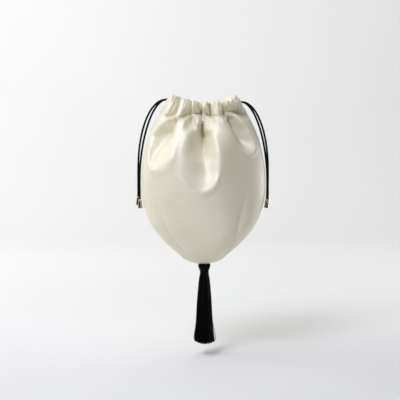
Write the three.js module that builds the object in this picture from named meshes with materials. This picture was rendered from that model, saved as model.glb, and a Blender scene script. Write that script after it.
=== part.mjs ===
// A small satin drawstring pouch, hanging: two sewn panels whose tops are
// turned over into a cord casing, two cords that each run right round the
// casing and leave together at one side, a flared metal end on every strand,
// and a thread tassel tied into the base seam.
//
// Millimetres, +Z up, front towards -Y. The origin is the middle of the
// gathered mouth at the height where the cords come out.

import * as THREE from 'three';
import { mergeVertices } from 'three/addons/utils/BufferGeometryUtils.js';

// ---------------------------------------------------------------- sizes ----
const WALL = 1.2;              // satin with its turned-in lining
const SEAM_GAP = 0.3;          // between the two panels along the sewn edges
const COLUMNS = 40;            // facets across one panel

const TOP_MIDDLE_Z = -1.7;     // the gathered edge droops in the middle,
const TOP_PEAK_Z = 6.6;        // rises to a puffed corner near each end
const TOP_END_Z = 4.0;         // and falls again where the cords come out
const TOP_DROOP_U = 0.3;
const TOP_PEAK_U = 0.82;
const STITCH_Z = -17;          // sewn line under the casing
const PLEAT = 6.5;             // how far the gathers stand out at the casing
const PLEAT_FADE_Z = -112;     // where the last of the gathers is smoothed out

const CORD_D = 2.7;
const CORD_SIDES = 8;
const UPPER_CORD_Z = 1.05;     // left-hand cord where it leaves the casing
const LOWER_CORD_Z = -2.05;    // right-hand cord
const CORD_SAG = 6.0;          // both hang lower in the middle of the casing
const CASING_END = 0.72;       // place along the casing where strand meets loop
const JOIN_GAP = 0.3;

const TIP_LENGTH = 11.5;
const TIP_TOP_R = 2.1;
const TIP_RIM_R = 3.3;
const TIP_SOCKET = 4.0;

const TASSEL_TOP_Z = -214.2;
const TASSEL_NECK_Z = -222.4;
const TASSEL_END_Z = -317.6;
const TASSEL_X = 1.2;          // it hangs a little to the right of the base seam's middle

// ------------------------------------------------------------- materials ----
const satin = () => new THREE.MeshStandardMaterial({ color: 0xe9e2cf, roughness: 0.42, metalness: 0 });
const cordBlack = () => new THREE.MeshStandardMaterial({ color: 0x141312, roughness: 0.7, metalness: 0 });
const threadBlack = () => new THREE.MeshStandardMaterial({ color: 0x1a1918, roughness: 0.6, metalness: 0 });
const brass = () => new THREE.MeshStandardMaterial({ color: 0xb08a63, roughness: 0.28, metalness: 1 });

// --------------------------------------------------------------- profile ----
// One row for each level of a panel, from the base seam up the body, over the
// top fold and down inside as the hem of the casing.
//   z      height, and for the casing the sewn line that it rises from
//   rise   share of the way from the sewn line to the top edge
//   wide   half the width        deep   half the depth
//   rim    distance of the side edge from the middle plane
//   point  1 = round section, 2 = lens-shaped section
//   even   0 = columns spaced round the section, 1 = spaced evenly across it
//   lift   distance of the cloth outside (+) or inside (-) the cord line
//   pleat  share of the gathers that this level shows
const row = (z, rise, wide, deep, rim, point, even, lift, pleat) =>
  ({ z, rise, wide, deep, rim, point, even, lift, pleat });
const body = (z, wide, deep, point = 1, even = 0) => row(z, 0, wide, deep, SEAM_GAP / 2, point, even, 0, 1);
const casing = (rise, wide, deep, rim, lift, pleat) => row(STITCH_Z, rise, wide, deep, rim, 2, 1, lift, pleat);
const PROFILE = [
  row(-212.6, 0, 5.0, 0.3, 1.00, 1, 0, 0, 0),
  row(-210.8, 0, 12.0, 6.5, 0.60, 1, 0, 0, 0),
  //     z     wide  deep  point even
  body(-207.6, 21.8, 13.0),
  body(-202.2, 28.3, 19.0),
  body(-196.4, 35.4, 24.5),
  body(-185.6, 47.4, 32.5),
  body(-172.3, 59.4, 40.5),
  body(-159.1, 68.2, 46.5),
  body(-145.9, 74.0, 50.5),
  body(-132.5, 77.7, 53.0),
  body(-119.2, 79.7, 54.0),
  body(-106.0, 80.2, 54.0),
  body( -92.7, 79.4, 52.5),
  body( -79.4, 77.8, 49.5, 1.05, 0.1),
  body( -66.2, 75.4, 45.0, 1.12, 0.2),
  body( -52.9, 72.3, 39.5, 1.20, 0.4),
  body( -39.7, 67.7, 33.5, 1.35, 0.6),
  body( -26.4, 61.0, 27.0, 1.60, 0.8),
  row(STITCH_Z, 0, 55.0, 21.5, 0.90, 1.8, 0.9, 0.9, 1),
  //     rise  wide  deep  rim  lift  pleat
  casing(0.22, 52.3, 19.3, 2.6,  1.7, 0.97),
  casing(0.45, 49.4, 17.0, 4.2,  2.5, 0.92),
  casing(0.65, 47.4, 15.4, 5.0,  2.8, 0.88),
  casing(0.82, 46.2, 14.4, 5.2,  2.7, 0.82),
  casing(0.94, 45.4, 14.0, 5.2,  1.7, 0.70),
  casing(1.00, 45.0, 14.0, 5.2,  0.0, 0.30),
  casing(0.94, 44.2, 14.0, 5.2, -1.7, -0.20),
  casing(0.82, 43.8, 14.4, 5.2, -2.7, -0.25),
  casing(0.65, 44.4, 15.4, 5.0, -2.8, -0.15),
  casing(0.45, 46.0, 17.0, 4.2, -2.6, 0.08),
  casing(0.30, 48.0, 18.6, 3.2, -2.0, 0.45),
];
const HALF_GAP = SEAM_GAP / 2;

// Height of the gathered top edge across a panel.
function topEdge(u) {
  const at = Math.abs(u);
  if (at < TOP_PEAK_U) return mix(TOP_MIDDLE_Z, TOP_PEAK_Z, smooth((at - TOP_DROOP_U) / (TOP_PEAK_U - TOP_DROOP_U)));
  return mix(TOP_PEAK_Z, TOP_END_Z, smooth((at - TOP_PEAK_U) / (1 - TOP_PEAK_U)));
}

// ----------------------------------------------------------------- folds ----
// One row for each valley pressed in between the gathers.
//   u_top, u_end   place across the panel at the casing and at its lower end
//   z_end          where the valley runs out
//   w_top, w_end   half its width, in the same measure as u
//   depth          deepest point below the plain form
const fold = (u_top, u_end, z_end, w_top, w_end, depth) =>
  ({ u_top, u_end, z_end, w_top, w_end, depth });
const FRONT_FOLDS = [
  fold(-0.63, -0.625,  -95, 0.12, 0.20, 13.0),
  fold(-0.30, -0.220,  -38, 0.10, 0.10,  6.0),
  fold(-0.05,  0.005, -123, 0.10, 0.17, 14.0),
  fold( 0.25,  0.220,  -28, 0.09, 0.08,  5.0),
  fold( 0.53,  0.650,  -71, 0.12, 0.19, 13.0),
];
const BACK_FOLDS = [
  fold(-0.58, -0.620,  -84, 0.12, 0.20, 12.0),
  fold(-0.30, -0.260,  -46, 0.10, 0.10,  6.0),
  fold(-0.04, -0.020, -112, 0.10, 0.17, 13.0),
  fold( 0.26,  0.240,  -34, 0.09, 0.10,  6.0),
  fold( 0.60,  0.630,  -96, 0.12, 0.20, 12.0),
];

const smooth = (x) => { const t = Math.min(1, Math.max(0, x)); return t * t * (3 - 2 * t); };
const mix = (a, b, t) => a + (b - a) * t;

// Height of the cloth above the plain section: the gathers stand out near the
// mouth, and the valleys between them are pressed in and end in a scoop.
function gather(u, z, folds) {
  const edge = 1 - Math.abs(u) ** 6;
  const below = Math.max(0, STITCH_Z - z);
  let height = PLEAT * (1 - smooth(below / (STITCH_Z - PLEAT_FADE_Z)));
  for (const f of folds) {
    const t = below / (STITCH_Z - f.z_end);
    const across = (u - mix(f.u_top, f.u_end, Math.min(1, t))) / mix(f.w_top, f.w_end, Math.min(1, t));
    if (Math.abs(across) >= 1) continue;
    const depth = mix(PLEAT, f.depth, smooth(t / 0.55)) * (1 - smooth((t - 0.7) / 0.4));
    height -= depth * (0.5 + 0.5 * Math.cos(Math.PI * across));
  }
  return height * edge;
}

// Point of a level's plain section at u (-1 left seam ... 1 right seam), with
// the cloth moved out by `out` along the section's own normal.
function sectionPoint(level, u, out) {
  const share = (v) => mix(Math.sin(v * Math.PI / 2), v, level.even);
  const at = (v) => {
    const s = Math.max(-1, Math.min(1, share(v)));
    return [level.wide * s, level.rim + level.deep * Math.max(0, 1 - s * s) ** (level.point / 2)];
  };
  const d = 0.004;
  const v = Math.max(-1 + d, Math.min(1 - d, u));
  const [x0, y0] = at(v - d);
  const [x1, y1] = at(v + d);
  const length = Math.hypot(x1 - x0, y1 - y0);
  const [x, y] = at(u);
  return [x - out * (y1 - y0) / length, y + out * (x1 - x0) / length];
}

// ------------------------------------------------------------ solid maker ----
// Welds a geometry's shared vertices and turns its faces outwards.
function solid(source) {
  const bare = source.index ? source.toNonIndexed() : source.clone();
  for (const name of Object.keys(bare.attributes)) if (name !== 'position') bare.deleteAttribute(name);
  const welded = mergeVertices(bare, 1e-4);
  const p = welded.attributes.position;
  const old = welded.index.array;
  const kept = [];
  let volume = 0;
  const a = new THREE.Vector3(), b = new THREE.Vector3(), c = new THREE.Vector3();
  for (let i = 0; i < old.length; i += 3) {
    if (old[i] === old[i + 1] || old[i + 1] === old[i + 2] || old[i] === old[i + 2]) continue;
    kept.push(old[i], old[i + 1], old[i + 2]);
    a.fromBufferAttribute(p, old[i]); b.fromBufferAttribute(p, old[i + 1]); c.fromBufferAttribute(p, old[i + 2]);
    volume += a.dot(b.clone().cross(c)) / 6;
  }
  if (volume < 0) for (let i = 0; i < kept.length; i += 3) [kept[i + 1], kept[i + 2]] = [kept[i + 2], kept[i + 1]];
  welded.setIndex(kept);
  welded.computeVertexNormals();
  return welded;
}

// ---------------------------------------------------------------- panels ----
// face is -1 for the front and 1 for the back.
function panelGeometry(face, folds) {
  const rows = PROFILE.length;
  const middle = (u, r) => {
    const level = PROFILE[r];
    const z = level.z + level.rise * (topEdge(u) - STITCH_Z);
    const out = level.lift + level.pleat * gather(u, level.z, folds);
    const [x, y] = sectionPoint(level, u, out);
    return new THREE.Vector3(x, y, z);
  };
  const mid = [];
  for (let r = 0; r < rows; r++) {
    mid.push([]);
    for (let c = 0; c <= COLUMNS; c++) mid[r].push(middle(-1 + 2 * c / COLUMNS, r));
  }
  const outer = [], inner = [];
  for (let r = 0; r < rows; r++) {
    outer.push([]); inner.push([]);
    for (let c = 0; c <= COLUMNS; c++) {
      const across = mid[r][Math.min(COLUMNS, c + 1)].clone().sub(mid[r][Math.max(0, c - 1)]);
      const along = mid[Math.min(rows - 1, r + 1)][c].clone().sub(mid[Math.max(0, r - 1)][c]);
      const normal = along.cross(across).normalize().multiplyScalar(WALL / 2);
      const o = mid[r][c].clone().add(normal);
      const i = mid[r][c].clone().sub(normal);
      o.y = Math.max(o.y, HALF_GAP);
      i.y = Math.max(i.y, HALF_GAP);
      o.y *= face; i.y *= face;
      outer[r].push(o); inner[r].push(i);
    }
  }
  const points = [];
  const quad = (a, b, c, d) => points.push(a, b, c, a, c, d);
  for (let r = 0; r + 1 < rows; r++) {
    for (let c = 0; c < COLUMNS; c++) {
      quad(outer[r][c], outer[r][c + 1], outer[r + 1][c + 1], outer[r + 1][c]);
      quad(inner[r][c], inner[r + 1][c], inner[r + 1][c + 1], inner[r][c + 1]);
    }
    quad(outer[r][0], outer[r + 1][0], inner[r + 1][0], inner[r][0]);
    quad(outer[r][COLUMNS], inner[r][COLUMNS], inner[r + 1][COLUMNS], outer[r + 1][COLUMNS]);
  }
  const top = rows - 1;
  for (let c = 0; c < COLUMNS; c++) {
    quad(outer[0][c], inner[0][c], inner[0][c + 1], outer[0][c + 1]);
    quad(outer[top][c], outer[top][c + 1], inner[top][c + 1], inner[top][c]);
  }
  return solid(new THREE.BufferGeometry().setFromPoints(points));
}

// ----------------------------------------------------------------- cords ----
const CASING_OUTSIDE = PROFILE.filter((level) => level.z === STITCH_Z && level.lift >= 0);

// Middle of the casing at u and the cord's own height there, or `out` from it;
// face -1 front, 1 back.
function casingPoint(u, face, height, out = 0) {
  const z = height - CORD_SAG * (1 - u * u);
  const rise = (z - STITCH_Z) / (topEdge(u) - STITCH_Z);
  const above = Math.max(1, CASING_OUTSIDE.findIndex((level) => level.rise >= rise));
  const [low, high] = [CASING_OUTSIDE[above - 1], CASING_OUTSIDE[above]];
  const t = (rise - low.rise) / (high.rise - low.rise);
  const level = {};
  for (const column of ['wide', 'deep', 'rim', 'point', 'even']) level[column] = mix(low[column], high[column], t);
  const [x, y] = sectionPoint(level, u, out);
  return new THREE.Vector3(x, face * y, z);
}

function tube(curve, steps) {
  const ring = new THREE.Shape();
  for (let i = 0; i < CORD_SIDES; i++) {
    const angle = 2 * Math.PI * (i + 0.5) / CORD_SIDES;
    const [x, y] = [CORD_D / 2 * Math.cos(angle), CORD_D / 2 * Math.sin(angle)];
    if (i) ring.lineTo(x, y); else ring.moveTo(x, y);
  }
  ring.closePath();
  return solid(new THREE.ExtrudeGeometry(ring, { steps, bevelEnabled: false, extrudePath: curve }));
}

// The free strands: out of the casing, over in a falling quarter curve, then
// straight down to the tip.
//   side      -1 left, 1 right       face    -1 front, 1 back
//   height    level in the casing    reach   distance out of the hanging part
//   turn_z    where it hangs straight    bow  fullness of the curve
//   hang_y    depth of the hanging part  end_x, end_y, end_z   the cord's end
const strand = (side, face, height, reach, turn_z, bow, hang_y, end_x, end_y, end_z) =>
  ({ side, face, height, reach, turn_z, bow, hang_y, end_x, end_y, end_z });
const STRANDS = {
  left_front:  strand(-1, -1, UPPER_CORD_Z, 82.7, -104, 1.86, -2.2, 82.2, -4.2, -132.3),
  left_back:   strand(-1,  1, UPPER_CORD_Z, 84.7,  -90, 2.08,  2.2, 85.0,  3.9, -128.6),
  right_front: strand( 1, -1, LOWER_CORD_Z, 82.7, -104, 1.86, -2.2, 82.0, -4.2, -132.0),
  right_back:  strand( 1,  1, LOWER_CORD_Z, 83.9,  -90, 2.05,  2.2, 84.0,  3.9, -127.6),
};
const ARC_POINTS = 9;
const TURN_X = 49.6;           // furthest point of the loop outside the casing's end
const LEAVE = 2.2;             // straight out of the casing before the cord falls

function strandCurve(s) {
  const points = [];
  for (const [u, out] of [[CASING_END, 0], [0.82, -0.2], [0.92, -0.5]]) {
    points.push(casingPoint(s.side * u, s.face, s.height, out));
  }
  const leave = casingPoint(s.side, s.face, s.height, -0.9);
  points.push(leave);
  const from = Math.abs(leave.x) + LEAVE;
  for (let i = 0; i <= ARC_POINTS; i++) {
    const angle = Math.PI / 2 * i / ARC_POINTS;
    const out = Math.sin(angle) ** (2 / s.bow);
    const down = 1 - Math.cos(angle) ** (2 / s.bow);
    points.push(new THREE.Vector3(
      s.side * mix(from, s.reach, out),
      mix(leave.y, s.hang_y, smooth(i / ARC_POINTS)),
      mix(leave.z, s.turn_z, down),
    ));
  }
  const hang = points[points.length - 1];
  for (const t of [0.5, 0.85, 1]) {
    const ease = t * t;
    points.push(new THREE.Vector3(
      s.side * mix(Math.abs(hang.x), s.end_x, ease), mix(hang.y, s.end_y, ease), mix(hang.z, s.end_z, t),
    ));
  }
  return new THREE.CatmullRomCurve3(points, false, 'centripetal');
}

// The held stretch of the cord whose strands leave at `side`: across the front
// casing, round outside the far end, and back through the back casing.
function loopCurve(side, height) {
  const start = CASING_END - 1.4 * JOIN_GAP / PROFILE[PROFILE.length - 1].wide;
  const across = [[start, 0], [0.45, 0], [0.15, 0], [-0.15, 0], [-0.45, 0], [-0.7, 0], [-0.86, -0.2], [-1, -0.9]];
  const casingRun = (face) => across.map(([u, out]) => casingPoint(side * u, face, height, out));
  const leave = casingPoint(-side, -1, height, -0.9);
  const round = [[TURN_X - 1.4, -0.42], [TURN_X, 0], [TURN_X - 1.4, 0.42]]
    .map(([x, y]) => new THREE.Vector3(-side * x, y * Math.abs(leave.y), height - 0.6 * side));
  return new THREE.CatmullRomCurve3([...casingRun(-1), ...round, ...casingRun(1).reverse()], false, 'centripetal');
}

// ------------------------------------------------------------------ tips ----
// A flared bell turned about its own axis, top rim at the origin, opening down.
function tipGeometry() {
  const bore = CORD_D / 2 + JOIN_GAP;
  const outline = [
    [0, -TIP_SOCKET - JOIN_GAP], [bore, -TIP_SOCKET - JOIN_GAP], [bore, -0.2],
    [bore + 0.2, 0], [TIP_TOP_R - 0.1, -0.1], [TIP_TOP_R, -0.5],
    [TIP_TOP_R + 0.12, -3.2], [TIP_TOP_R + 0.55, -6.6], [TIP_RIM_R - 0.45, -9.4],
    [TIP_RIM_R, -TIP_LENGTH + 0.7], [TIP_RIM_R, -TIP_LENGTH + 0.3], [TIP_RIM_R - 0.3, -TIP_LENGTH],
    [TIP_RIM_R - 0.8, -TIP_LENGTH + 0.2], [0, -TIP_LENGTH + 1.5],
  ].map(([r, z]) => new THREE.Vector2(r, z));
  const bell = new THREE.LatheGeometry(outline, 16);
  bell.rotateX(Math.PI / 2);
  return solid(bell);
}

// ---------------------------------------------------------------- tassel ----
function turned(outline, facets) {
  const form = new THREE.LatheGeometry(outline.map(([r, z]) => new THREE.Vector2(r, z)), facets);
  form.rotateX(Math.PI / 2);
  return solid(form);
}

const TIE_R = 0.8;
const KNOT_R = 2.1;
const NECK_R = 5.1;
const KNOT_Z = -209.0;
const TIE_END_Z = TASSEL_TOP_Z - 5.6;

// Radius of the bundle of threads down its length.
const BUNDLE = [
  [TIE_R + JOIN_GAP, TASSEL_TOP_Z - 1.9], [3.9, TASSEL_TOP_Z - 1.2], [6.4, TASSEL_TOP_Z - 0.2],
  [7.5, TASSEL_TOP_Z - 0.9], [7.7, TASSEL_TOP_Z - 2.6], [6.9, TASSEL_TOP_Z - 5.2],
  [5.7, TASSEL_NECK_Z + 0.4], [NECK_R, TASSEL_NECK_Z], [NECK_R, TASSEL_NECK_Z - 2.8],
  [5.8, TASSEL_NECK_Z - 3.3], [7.0, -232], [8.3, -245], [9.6, -260], [10.3, -274], [11.0, -288],
  [12.0, -301], [12.7, -311], [12.6, -315.2], [11.2, -317], [0, TASSEL_END_Z],
];

function bundleGeometry() {
  const socket = [[0, TIE_END_Z - JOIN_GAP], [TIE_R + JOIN_GAP, TIE_END_Z - JOIN_GAP]];
  return turned([...socket, ...BUNDLE], 24);
}

function bindingGeometry() {
  const inside = NECK_R + JOIN_GAP;
  const [top, low] = [TASSEL_NECK_Z - 0.35, TASSEL_NECK_Z - 2.45];
  return turned([[inside, top], [inside, low], [5.8, low], [6.0, low + 0.4], [6.0, top - 0.4], [5.8, top], [inside, top]], 24);
}

function tieGeometry() {
  const outline = [[0, TIE_END_Z], [TIE_R, TIE_END_Z]];
  const turn = Math.asin(TIE_R / KNOT_R);
  for (let i = 0; i <= 7; i++) {
    const angle = turn + (Math.PI - turn) * i / 7;
    outline.push([Math.max(0, KNOT_R * Math.sin(angle)), KNOT_Z - KNOT_R * Math.cos(angle)]);
  }
  outline[outline.length - 1][0] = 0;
  return turned(outline, 12);
}

// ----------------------------------------------------------------- build ----
const pouch = new THREE.Group();
const add = (name, geometry, material) => {
  const mesh = new THREE.Mesh(geometry, material);
  mesh.name = name;
  pouch.add(mesh);
  return mesh;
};

add('front_panel', panelGeometry(-1, FRONT_FOLDS), satin());
add('back_panel', panelGeometry(1, BACK_FOLDS), satin());

for (const [place, s] of Object.entries(STRANDS)) {
  const curve = strandCurve(s);
  add(`cord_${place}`, tube(curve, 16), cordBlack());
  const down = curve.getTangent(1);
  const tip = add(`tip_${place}`, tipGeometry(), brass());
  tip.quaternion.setFromUnitVectors(new THREE.Vector3(0, 0, -1), down);
  tip.position.copy(curve.getPoint(1)).addScaledVector(down, -TIP_SOCKET);
}
add('cord_left_loop', tube(loopCurve(-1, UPPER_CORD_Z), 24), cordBlack());
add('cord_right_loop', tube(loopCurve(1, LOWER_CORD_Z), 24), cordBlack());

for (const [name, geometry] of [['bundle', bundleGeometry()], ['binding', bindingGeometry()], ['tie', tieGeometry()]]) {
  add(`tassel_${name}`, geometry, threadBlack()).position.x = TASSEL_X;
}

export default pouch;
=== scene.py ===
import math

import bpy
import numpy as np
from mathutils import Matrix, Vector


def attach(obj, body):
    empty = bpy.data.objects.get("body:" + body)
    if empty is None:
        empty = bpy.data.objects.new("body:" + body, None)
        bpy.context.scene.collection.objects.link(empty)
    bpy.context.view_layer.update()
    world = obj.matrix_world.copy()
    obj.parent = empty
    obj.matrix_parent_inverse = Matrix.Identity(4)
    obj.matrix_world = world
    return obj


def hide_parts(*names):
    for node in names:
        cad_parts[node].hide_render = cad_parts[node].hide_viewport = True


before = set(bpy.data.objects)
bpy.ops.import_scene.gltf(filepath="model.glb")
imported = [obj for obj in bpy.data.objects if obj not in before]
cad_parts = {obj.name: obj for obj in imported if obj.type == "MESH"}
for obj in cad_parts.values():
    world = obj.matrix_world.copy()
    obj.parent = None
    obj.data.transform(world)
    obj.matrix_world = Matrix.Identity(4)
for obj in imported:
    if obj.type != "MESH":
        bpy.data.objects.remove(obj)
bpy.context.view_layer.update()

MM = 0.001
SCENE = bpy.context.scene


# ------------------------------------------------------------------ camera ----
# The photograph's view: a long lens a little above level.
CAMERA_TILT = 4.0            # degrees above level
CAMERA_DISTANCE = 1800.0     # mm
CAMERA_AIM = (-4.4, 0.0, -129.35)
CAMERA_LENS = 124.6          # mm on a 36 mm sensor

tilt = math.radians(CAMERA_TILT)
camera_data = bpy.data.cameras.new("camera")
camera_data.lens = CAMERA_LENS
camera_data.sensor_width = 36.0
camera_data.sensor_height = 36.0
camera_data.clip_end = 50.0
camera = bpy.data.objects.new("camera", camera_data)
SCENE.collection.objects.link(camera)
camera.location = (
    CAMERA_AIM[0] * MM,
    (CAMERA_AIM[1] - CAMERA_DISTANCE * math.cos(tilt)) * MM,
    (CAMERA_AIM[2] + CAMERA_DISTANCE * math.sin(tilt)) * MM,
)
camera.rotation_euler = (math.pi / 2 - tilt, 0, 0)
SCENE.camera = camera


# ------------------------------------------------------------- small maths ----
def smooth(x):
    t = np.clip(x, 0.0, 1.0)
    return t * t * (3 - 2 * t)


def mix(a, b, t):
    return a + (b - a) * t


def through(x, y, q):
    """Monotone cubic through the points (x, y), read at q; held level past both ends."""
    x, y, q = np.asarray(x, float), np.asarray(y, float), np.asarray(q, float)
    if x[0] > x[-1]:
        x, y = x[::-1], y[::-1]
    h = np.diff(x)
    d = np.diff(y) / h
    m = np.zeros_like(y)
    a, b = d[:-1], d[1:]
    w1, w2 = 2 * h[1:] + h[:-1], h[1:] + 2 * h[:-1]
    same = a * b > 0
    safe_a, safe_b = np.where(same, a, 1.0), np.where(same, b, 1.0)
    m[1:-1] = np.where(same, (w1 + w2) / (w1 / safe_a + w2 / safe_b), 0.0)
    m[0], m[-1] = d[0], d[-1]
    q = np.clip(q, x[0], x[-1])
    i = np.clip(np.searchsorted(x, q, side="right") - 1, 0, len(h) - 1)
    t = (q - x[i]) / h[i]
    return ((1 + 2 * t) * (1 - t) ** 2 * y[i] + t * (1 - t) ** 2 * h[i] * m[i]
            + t * t * (3 - 2 * t) * y[i + 1] + t * t * (t - 1) * h[i] * m[i + 1])


def noise(x, y, seed):
    """Smooth value noise, about -1 to 1, one cell to a unit of x and y."""
    table = np.random.RandomState(seed).uniform(-1, 1, (64, 64))
    x, y = np.asarray(x, float) + 1000.0, np.asarray(y, float) + 1000.0
    i, j = np.floor(x).astype(int), np.floor(y).astype(int)
    fx, fy = smooth(x - i), smooth(y - j)
    i0, i1, j0, j1 = i % 64, (i + 1) % 64, j % 64, (j + 1) % 64
    return mix(mix(table[i0, j0], table[i1, j0], fx), mix(table[i0, j1], table[i1, j1], fx), fy)


# ------------------------------------------------------------- mesh makers ----
def piece(name, points, faces, uv=None, tone=None, material=None, flat=False):
    """A mesh object from points in millimetres; uv and tone are given for each point."""
    mesh = bpy.data.meshes.new(name)
    mesh.from_pydata((np.asarray(points, float) * MM).tolist(), [], [list(map(int, f)) for f in faces])
    corner = np.zeros(len(mesh.loops), np.int32)
    mesh.loops.foreach_get("vertex_index", corner)
    if uv is not None:
        layer = mesh.uv_layers.new(name="cloth")
        layer.data.foreach_set("uv", np.asarray(uv, np.float32)[corner].ravel())
    if tone is not None:
        attribute = mesh.attributes.new("tone", "FLOAT", "POINT")
        attribute.data.foreach_set("value", np.asarray(tone, np.float32))
    mesh.polygons.foreach_set("use_smooth", np.full(len(mesh.polygons), not flat))
    mesh.update()
    thing = bpy.data.objects.new(name, mesh)
    SCENE.collection.objects.link(thing)
    if material is not None:
        mesh.materials.append(material)
    return thing


def joined(parts):
    """One set of points, faces, uv and tone from several."""
    points, faces, uv, tone, base = [], [], [], [], 0
    for p, f, t, n in parts:
        points.append(p)
        faces.extend([[k + base for k in face] for face in f])
        uv.append(t)
        tone.append(n)
        base += len(p)
    return np.concatenate(points), faces, np.concatenate(uv), np.concatenate(tone)


def frames_along(line):
    """Tangents and two steady cross directions along a line."""
    line = np.asarray(line, float)
    tangent = np.gradient(line, axis=0)
    tangent /= np.linalg.norm(tangent, axis=1)[:, None]
    first = np.cross(tangent[0], (0.0, 0.0, 1.0) if abs(tangent[0][2]) < 0.9 else (0.0, 1.0, 0.0))
    first /= np.linalg.norm(first)
    across = [first]
    for t in tangent[1:]:
        a = across[-1] - t * np.dot(across[-1], t)
        across.append(a / np.linalg.norm(a))
    across = np.array(across)
    return tangent, across, np.cross(tangent, across)


def tube(line, radius, sides, tone=0.0, u_scale=1.0):
    """Closed tube along a line; radius is a number, one for each ring, or one for each ring and side."""
    line = np.asarray(line, float)
    rings = len(line)
    _, a, b = frames_along(line)
    angle = 2 * np.pi * np.arange(sides) / sides
    r = np.broadcast_to(np.asarray(radius, float).reshape((-1, 1)) if np.ndim(radius) < 2 else radius, (rings, sides))
    points = (line[:, None, :] + r[..., None] * (a[:, None, :] * np.cos(angle)[None, :, None]
                                                + b[:, None, :] * np.sin(angle)[None, :, None])).reshape(-1, 3)
    length = np.concatenate([[0], np.cumsum(np.linalg.norm(np.diff(line, axis=0), axis=1))])
    uv = np.stack(np.broadcast_arrays((np.arange(sides) / sides * u_scale)[None, :], length[:, None] / 100), -1).reshape(-1, 2)
    faces = []
    for i in range(rings - 1):
        for j in range(sides):
            k = (j + 1) % sides
            faces.append([i * sides + j, i * sides + k, (i + 1) * sides + k, (i + 1) * sides + j])
    low, high = len(points), len(points) + 1
    points = np.concatenate([points, line[:1], line[-1:]])
    uv = np.concatenate([uv, [[0, 0], [0, length[-1] / 100]]])
    for j in range(sides):
        k = (j + 1) % sides
        faces.append([low, k, j])
        faces.append([high, (rings - 1) * sides + j, (rings - 1) * sides + k])
    return points, faces, uv, np.full(len(points), tone, float)


def lathe(outline, facets):
    """Solid of revolution about Z; the outline starts and ends on the axis or closes on itself."""
    outline = np.asarray(outline, float)
    angle = 2 * np.pi * np.arange(facets) / facets
    points, faces, index = [], [], []
    for r, z in outline:
        if r < 1e-6:
            index.append([len(points)] * facets)
            points.append((0, 0, z))
        else:
            index.append(list(range(len(points), len(points) + facets)))
            points.extend((r * math.cos(t), r * math.sin(t), z) for t in angle)
    for i in range(len(outline) - 1):
        for j in range(facets):
            k = (j + 1) % facets
            face = [index[i][j], index[i][k], index[i + 1][k], index[i + 1][j]]
            face = [v for n, v in enumerate(face) if v != face[n - 1]]
            if len(face) > 2:
                faces.append(face)
    points = np.array(points)
    return points, faces, np.zeros((len(points), 2)), np.zeros(len(points))


def curve_through(points, each):
    """Centripetal Catmull-Rom line through the points, with `each` steps between two of them."""
    p = np.asarray(points, float)
    p = np.concatenate([[2 * p[0] - p[1]], p, [2 * p[-1] - p[-2]]])
    line = []
    for i in range(1, len(p) - 2):
        d0, d1, d2 = (max(1e-4, np.linalg.norm(p[k + 1] - p[k]) ** 0.5) for k in (i - 1, i, i + 1))
        m1 = ((p[i] - p[i - 1]) / d0 - (p[i + 1] - p[i - 1]) / (d0 + d1) + (p[i + 1] - p[i]) / d1) * d1
        m2 = ((p[i + 1] - p[i]) / d1 - (p[i + 2] - p[i]) / (d1 + d2) + (p[i + 2] - p[i + 1]) / d2) * d1
        for t in np.arange(each) / each:
            line.append(p[i] + m1 * t + (3 * (p[i + 1] - p[i]) - 2 * m1 - m2) * t * t
                        + (2 * (p[i] - p[i + 1]) + m1 + m2) * t ** 3)
    line.append(p[-2])
    return np.array(line)


def evenly(line, step):
    """The line again, in steps of about `step` millimetres."""
    length = np.concatenate([[0], np.cumsum(np.linalg.norm(np.diff(line, axis=0), axis=1))])
    at = np.linspace(0, length[-1], max(2, int(round(length[-1] / step)) + 1))
    return np.stack([np.interp(at, length, line[:, k]) for k in range(3)], -1), length[-1]


# ---------------------------------------------------------------- materials ----
def new_material(name):
    material = bpy.data.materials.new(name)
    material.use_nodes = True
    nodes = material.node_tree.nodes
    return material, nodes, material.node_tree.links, nodes["Principled BSDF"]


def node(nodes, kind, **settings):
    made = nodes.new(kind)
    for key, value in settings.items():
        if key in ("operation", "blend_type", "data_type", "wave_type", "bands_direction", "wave_profile",
                   "noise_dimensions", "attribute_name", "uv_map", "distribution", "feature"):
            setattr(made, key, value)
        else:
            made.inputs[key.replace("_", " ")].default_value = value
    return made


def ramp(nodes, stops):
    made = nodes.new("ShaderNodeValToRGB")
    elements = made.color_ramp.elements
    while len(elements) < len(stops):
        elements.new(0.5)
    for element, (place, colour) in zip(elements, stops):
        element.position = place
        element.color = (*colour, 1.0)
    return made


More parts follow.
